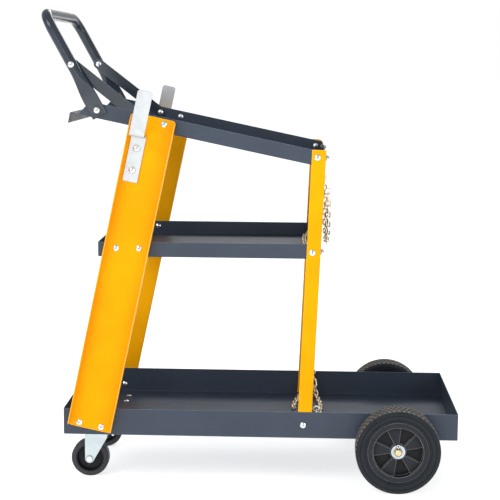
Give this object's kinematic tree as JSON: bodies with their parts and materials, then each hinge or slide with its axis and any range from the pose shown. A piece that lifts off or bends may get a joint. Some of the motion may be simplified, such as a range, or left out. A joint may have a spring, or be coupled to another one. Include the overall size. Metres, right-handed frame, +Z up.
{
  "type": "three-tier welding trolley",
  "caption": "Steel welding trolley with a sloping top tray, a shelf and a bottom tray for a gas bottle, rear wheels, swivel casters, a push handle and retaining chains.",
  "frame": {"origin": "on the floor, in the middle of the trolley's length and width", "axes": "+X towards the gas bottle's end, +Y to the left of a person pushing at the handle, +Z up"},
  "size_m": [0.969, 0.555, 1.1329],
  "materials": {
    "slate_powder": "satin powder coat",
    "amber_powder": "semi-gloss powder coat",
    "slate_gloss": "gloss powder coat",
    "tyre_rubber": "matt",
    "caster_rubber": "matt",
    "black_plastic": "moulded, satin",
    "bush_nylon": "natural",
    "chain_zinc": "pale yellow zinc plate",
    "axle_yellow_zinc": "yellow zinc plate on steel",
    "bright_zinc": "bright zinc plate"
  },
  "bodies": {
    "root": {"bottom_tray": "slate_powder", "middle_shelf": "slate_powder", "top_tray": "slate_powder", "front_leg_left": "amber_powder", "front_leg_right": "amber_powder", "rear_leg_left": "amber_powder", "rear_leg_right": "amber_powder", "handle_tube": "slate_gloss", "handle_strap_left": "slate_gloss", "handle_strap_right": "slate_gloss", "cable_hook_left": "bright_zinc", "cable_hook_right": "bright_zinc", "front_leg_spacers": "bright_zinc", "front_leg_screws": "bright_zinc", "front_leg_nuts": "bright_zinc", "rear_leg_screws": "bright_zinc", "rear_leg_nuts": "bright_zinc", "end_wall_screws": "bright_zinc", "end_wall_nuts": "bright_zinc", "handle_screws": "bright_zinc", "handle_nuts": "bright_zinc", "hook_screws": "bright_zinc", "hook_nuts": "bright_zinc", "axle_bracket_left": "slate_powder", "axle_bracket_right": "slate_powder", "rear_axle": "axle_yellow_zinc", "axle_spacers": "bright_zinc", "wheel_washers": "bright_zinc", "wheel_split_pins": "bright_zinc", "caster_plate_left": "bright_zinc", "caster_plate_right": "bright_zinc", "caster_bolts": "bright_zinc", "caster_nuts": "bright_zinc", "kingpin_left": "bright_zinc", "kingpin_right": "bright_zinc", "caster_balls_left": "bright_zinc", "caster_balls_right": "bright_zinc", "lower_chain": "chain_zinc", "upper_chain_tail": "chain_zinc", "lower_chain_tail": "chain_zinc", "chain_eye_bolts": "bright_zinc", "chain_eye_nuts": "bright_zinc"},
    "rear_wheel_left": {"rear_tyre_left": "tyre_rubber", "rear_rim_left": "black_plastic", "rear_bush_left": "bush_nylon"},
    "rear_wheel_right": {"rear_tyre_right": "tyre_rubber", "rear_rim_right": "black_plastic", "rear_bush_right": "bush_nylon"},
    "caster_swivel_left": {"caster_fork_left": "bright_zinc", "caster_axle_left": "bright_zinc", "caster_axle_nut_left": "bright_zinc"},
    "caster_wheel_left": {"caster_tyre_left": "caster_rubber", "caster_hub_left": "black_plastic"},
    "caster_swivel_right": {"caster_fork_right": "bright_zinc", "caster_axle_right": "bright_zinc", "caster_axle_nut_right": "bright_zinc"},
    "caster_wheel_right": {"caster_tyre_right": "caster_rubber", "caster_hub_right": "black_plastic"},
    "hanging_chain": {"upper_chain": "chain_zinc"}
  },
  "joints": [
    {"name": "rear_wheel_left_spin", "type": "hinge", "parent": "root", "child": "rear_wheel_left", "pos_m": [0.33898, 0.2525, 0.1], "axis": [0, 1, 0], "continuous": true},
    {"name": "rear_wheel_right_spin", "type": "hinge", "parent": "root", "child": "rear_wheel_right", "pos_m": [0.33898, -0.2525, 0.1], "axis": [0, 1, 0], "continuous": true},
    {"name": "caster_left_swivel", "type": "hinge", "parent": "root", "child": "caster_swivel_left", "pos_m": [-0.38474, 0.125, 0.11072], "axis": [0.0176, 0, 0.9998], "continuous": true},
    {"name": "caster_left_spin", "type": "hinge", "parent": "caster_swivel_left", "child": "caster_wheel_left", "pos_m": [-0.40688, 0.125, 0.046], "axis": [0, 1, 0], "continuous": true},
    {"name": "caster_right_swivel", "type": "hinge", "parent": "root", "child": "caster_swivel_right", "pos_m": [-0.38474, -0.125, 0.11072], "axis": [0.0176, 0, 0.9998], "continuous": true},
    {"name": "caster_right_spin", "type": "hinge", "parent": "caster_swivel_right", "child": "caster_wheel_right", "pos_m": [-0.40688, -0.125, 0.046], "axis": [0, 1, 0], "continuous": true},
    {"name": "upper_chain_swing", "type": "hinge", "parent": "root", "child": "hanging_chain", "pos_m": [0.17714, 0, 0.70395], "axis": [0.008, -1, 0.0039], "range_deg": [0, 60]}
  ]
}
